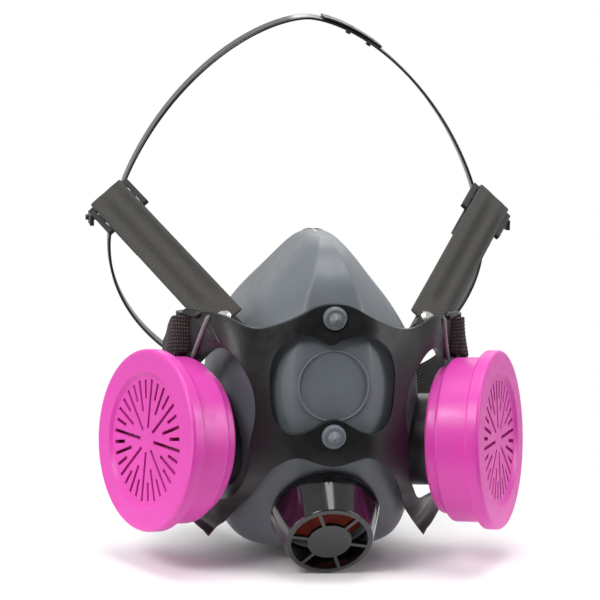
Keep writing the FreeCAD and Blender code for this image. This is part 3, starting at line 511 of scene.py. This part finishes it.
def panel_ring():
    """Plain raised ring on the middle panel."""
    points = []
    for step in range(96):
        turn = 2 * math.pi * step / 96
        x, z = 17.0 * math.cos(turn), 33.4 + 17.0 * math.sin(turn)
        front = curve_value([-24.0, -25.5, -23.5, -19.5], max(0.0, z / 24.0))
        points.append(at(x, front - 0.1 - 0.35 * (abs(x) / 17) ** 5, z))
    tube("panel_ring", points, 0.5, "rubber", closed=True)


panel_ring()


# ---------------------------------------------------------------- ribbons

def sampled(points, step):
    """Points at equal steps along a smooth line through the given ones."""
    dense = []
    count = len(points)
    for index in range(count - 1):
        p0 = points[max(index - 1, 0)]
        p1, p2 = points[index], points[index + 1]
        p3 = points[min(index + 2, count - 1)]
        for part in range(24):
            t = part / 24
            dense.append(0.5 * ((2 * p1) + (p2 - p0) * t + (2 * p0 - 5 * p1 + 4 * p2 - p3) * t * t
                                + (3 * p1 - p0 - 3 * p2 + p3) * t ** 3))
    dense.append(points[-1])
    total = sum((dense[i + 1] - dense[i]).length for i in range(len(dense) - 1))
    pieces = max(2, round(total / step))
    gap = total / pieces
    result = [dense[0]]
    carried = 0.0
    for index in range(len(dense) - 1):
        run = (dense[index + 1] - dense[index]).length
        while carried + run >= gap * len(result) and len(result) < pieces:
            part = (gap * len(result) - carried) / run
            result.append(dense[index].lerp(dense[index + 1], part))
        carried += run
    result.append(dense[-1])
    return result


def ribbon(name, path, sides, width, thick, columns, relief, edge=0.3, closed=False):
    """A band of webbing or moulding along a path.

    sides gives the width direction at each point. relief(along, across) is the height added to each
    face. UVs are in metres: along the band, across it.
    """
    count = len(path)
    mesh = bmesh.new()
    layer = mesh.loops.layers.uv.new("UVMap")
    rings = []
    lengths = [0.0]
    for index in range(1, count):
        lengths.append(lengths[-1] + (path[index] - path[index - 1]).length)
    half = width / 2
    spots = [-half + width * column / columns for column in range(columns + 1)]
    for index in range(count):
        before = path[index - 1] if index or closed else path[index]
        after = path[(index + 1) % count] if index < count - 1 or closed else path[index]
        run = (after - before).normalized()
        side = (sides[index] - run * run.dot(sides[index])).normalized()
        normal = run.cross(side)
        ring = []
        for face in (1, -1):
            for spot in (spots if face > 0 else reversed(spots)):
                inset = max(0.0, (abs(spot) - (half - edge * thick)) / (edge * thick))
                level = thick / 2 * math.sqrt(max(0.0, 1 - 0.75 * inset * inset))
                level += relief(lengths[index], spot)
                ring.append((mesh.verts.new(path[index] + side * spot + normal * level * face),
                             (lengths[index], spot)))
        rings.append(ring)
    pairs = range(count if closed else count - 1)
    for index in pairs:
        first, second = rings[index], rings[(index + 1) % count]
        size = len(first)
        for corner in range(size):
            other = (corner + 1) % size
            quad = (first[corner], second[corner], second[other], first[other])
            face = mesh.faces.new([vert for vert, _ in quad])
            for loop, (_, uv) in zip(face.loops, quad):
                loop[layer].uv = uv
    if not closed:
        mesh.faces.new([vert for vert, _ in rings[0]])
        mesh.faces.new([vert for vert, _ in reversed(rings[-1])])
    bmesh.ops.recalc_face_normals(mesh, faces=mesh.faces)
    return smooth_object(mesh, name)


# ---------------------------------------------------------------- yoke trim

# Depth of the ear's front every 2 mm outwards from 50, at heights 50 and 62.
EAR_LOW = (-7.1, -4.7, -1.7, 1.8, 5.9, 10.0, 13.8, 17.1, 20.3)
EAR_HIGH = (-7.5, -5.6, -3.4, -0.5, 3.3, 7.6, 11.6, 15.2, 18.4)


def ear_front(x, z):
    low, high = (curve_value(depths, (x - 50.0) / 2) for depths in (EAR_LOW, EAR_HIGH))
    return low + (high - low) * (z - 50.0) / 12


def ear_face(label, side):
    """Smooth front over the channel that holds the strap's end inside the ear."""
    rows, columns = 28, 12
    mesh = bmesh.new()
    grid = []
    for row in range(rows + 1):
        share = row / rows
        inner = Vector((52.2, 50.2)).lerp(Vector((59.0, 63.4)), share)
        outer = Vector((58.6, 50.2)).lerp(Vector((67.6, 61.3)), share)
        line = []
        for column in range(columns + 1):
            part = column / columns
            x, z = inner.lerp(outer, part)
            swell = 1.0 * (1 - (2 * part - 1) ** 8) * (1 - (2 * share - 1) ** 24)
            line.append(mesh.verts.new(at(side * x, ear_front(x, z) + 0.6 - swell, z)))
        grid.append(line)
    for row in range(rows):
        for column in range(columns):
            mesh.faces.new((grid[row][column], grid[row][column + 1], grid[row + 1][column + 1],
                            grid[row + 1][column]))
    for face in mesh.faces:
        face.normal_update()
    if sum(face.normal.y for face in mesh.faces) > 0:
        bmesh.ops.reverse_faces(mesh, faces=mesh.faces)
    face = smooth_object(mesh, "ear_face_" + label)
    wall = face.modifiers.new("wall", "SOLIDIFY")
    wall.thickness = 1.2 * MM
    wall.offset = -1.0
    material_on(face, "yoke")
    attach(face, "mask")


def yoke_trim(label, side):
    """Stiffening rib down the ear and the flat head over the elastic's bar."""
    rib = [(58.0, 63.4), (59.5, 57.6), (61.1, 51.3), (62.7, 45.0), (64.1, 39.6)]
    points = [at(side * x, ear_front(x, z) - 0.5, z) for x, z in rib]
    # The rib's light grey material is painted highlight.
    tube("ear_rib_" + label, sampled(points, 0.0012), 1.4, "rib", flatten=0.8)
    head = [(61.6, 10.4, 62.4), (64.6, 16.2, 62.4), (68.8, 23.6, 61.8)]
    tube("bar_head_" + label, sampled([at(side * x, y, z) for x, y, z in head], 0.0012), 2.1, "yoke")


for label, sign in SIDES:
    ear_face(label, sign)
    yoke_trim(label, sign)


# ---------------------------------------------------------------- head straps

def strap_frame(side):
    along = Vector((side * 0.437, 0.790, 0.431)).normalized()
    across = Vector((side * 0.77, 0.0, -0.63))
    across = (across - along * along.dot(across)).normalized() * -side
    return at(side * 48.8, 1.0, 59.6), along, across, along.cross(across)


def head_strap(name, side):
    """Webbing from the rivet to its fold round the buckle bar, and the return ply behind."""
    origin, along, across, out = strap_frame(side)

    def spot(reach, level):
        sag = 0.5 * math.sin(math.pi * min(1.0, max(0.0, reach / 118.0)))
        return origin + (along * reach + out * (level - sag * 0.6)) * MM

    flat = [(2.0, -0.3), (14.0, -0.25), (24.0, 0.0), (40.0, 0.05), (70.0, 0.05), (100.0, 0.05), (122.6, 0.05)]
    bend = [(122.95 + 2.3 * math.sin(turn), -2.25 + 2.3 * math.cos(turn))
            for turn in (math.radians(angle) for angle in (30, 60, 90, 120, 150))]
    back = [(122.6, -4.55), (112.0, -4.5), (96.0, -4.5), (80.5, -4.4)]
    points = [spot(*pair) for pair in flat + bend + back]
    step = 0.000275
    path = sampled(points, step)

    def relief(length, spread):
        if abs(spread) > 0.0086:
            return 0.00006 * math.cos(2 * math.pi * spread / 0.0007)
        fade = 1.0 - 0.6 * min(1.0, max(0.0, (length - 0.108) / 0.012)) * (1.0 if length < 0.13 else 0.0)
        fade *= min(1.0, max(0.0, (length - 0.014) / 0.008))
        return 0.00016 * fade * math.cos(2 * math.pi * (length + spread * 0.12) / 0.0011)

    strap = ribbon(name, path, [across] * len(path), 0.020, 0.0015, 30, relief)
    material_on(strap, "webbing")
    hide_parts("strap_end_" + name.split("_")[-1], "head_strap_" + name.split("_")[-1])
    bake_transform(strap)


for label, sign in SIDES:
    head_strap("head_strap_webbing_" + label, sign)


# ---------------------------------------------------------------- neck straps

def neck_point(x, reach, rise=0.0):
    slope = math.radians(25.0)
    return at(x, 19 + reach * math.cos(slope) + rise * math.sin(slope),
              51.3 - reach * math.sin(slope) + rise * math.cos(slope))


def neck_strap(name, side):
    """Elastic: tail, loop round the yoke's end bar, then back and down to the nape clasp."""
    loop = [(67.0, 37.0, 48.6), (64.2, 30.0, 50.6), (62.9, 24.2, 51.5), (63.6, 20.4, 51.6),
            (67.6, 20.4, 51.5), (71.8, 22.8, 51.2), (74.2, 28.0, 49.6), (74.9, 36.5, 45.4)]
    points = [at(side * x, y, z) for x, y, z in loop]
    for x, reach in ((74.3, 32.0), (74.4, 42.0), (73.0, 60.0), (68.2, 82.6), (57.2, 103.8), (40.4, 120.9),
                     (23.2, 128.9)):
        points.append(neck_point(side * x, reach))
    step = 0.00042
    path = sampled(points, step)
    bar = Vector((side * -3.2, -2.6, 16.5)).normalized()
    slope = math.radians(25.0)
    level = Vector((0, math.sin(slope), math.cos(slope)))
    sides = []
    for index in range(len(path)):
        length = index * step
        share = min(1.0, max(0.0, (length - 0.032) / 0.025))
        sides.append(bar.lerp(level, share).normalized())

    def relief(length, spread):
        row = 0.5 + 0.5 * math.cos(2 * math.pi * spread / 0.0018)
        stitch = 0.5 + 0.5 * math.cos(2 * math.pi * length / 0.0013)
        return 0.00022 * row * (0.45 + 0.55 * stitch)

    strap = ribbon(name, path, sides, 0.0185, 0.0016, 42, relief)
    material_on(strap, "elastic")
    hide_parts("neck_strap_" + name.split("_")[-1])
    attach(strap, "mask")


for label, sign in SIDES:
    neck_strap("neck_elastic_" + label, sign)


# ---------------------------------------------------------------- head cradle

CRADLE_WIDEST = 86.5
PIVOT = (113.8, 99.0)


def cradle_point(turn, inset=0.0):
    half = 101.0 - inset
    upper = math.cos(turn) > 0
    power = 1.21 if upper else 1.0
    reach = (121.0 if upper else 80.0) - inset
    height = abs(math.cos(turn)) ** power * reach
    wide = abs(math.sin(turn)) ** power * half
    x = wide if math.sin(turn) > 0 else -wide
    z = CRADLE_WIDEST + (height if upper else -height)
    lean = math.tan(math.radians(8.0))
    return at(x, PIVOT[0] - lean * (z - PIVOT[1]), z)


def cradle_band():
    lean = math.radians(8.0)
    side = Vector((0, math.cos(lean), math.sin(lean)))
    count = 220
    path = [cradle_point(2 * math.pi * index / count, 0.75) for index in range(count)]

    def relief(length, spread):
        return 0.0

    band = ribbon("cradle_band", path, [side] * count, 0.012, 0.0015, 10, relief, edge=0.6, closed=True)
    material_on(band, "cradle")
    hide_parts("head_cradle")
    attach(band, "cradle")
    turns = [math.radians(7.0 + 20.0 * index / 24) for index in range(25)]
    path = [cradle_point(turn, -0.8) for turn in turns]
    lap = ribbon("cradle_lap", path, [side] * len(path), 0.0116, 0.0014, 10, relief, edge=0.6)
    material_on(lap, "cradle")
    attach(lap, "cradle")


cradle_band()
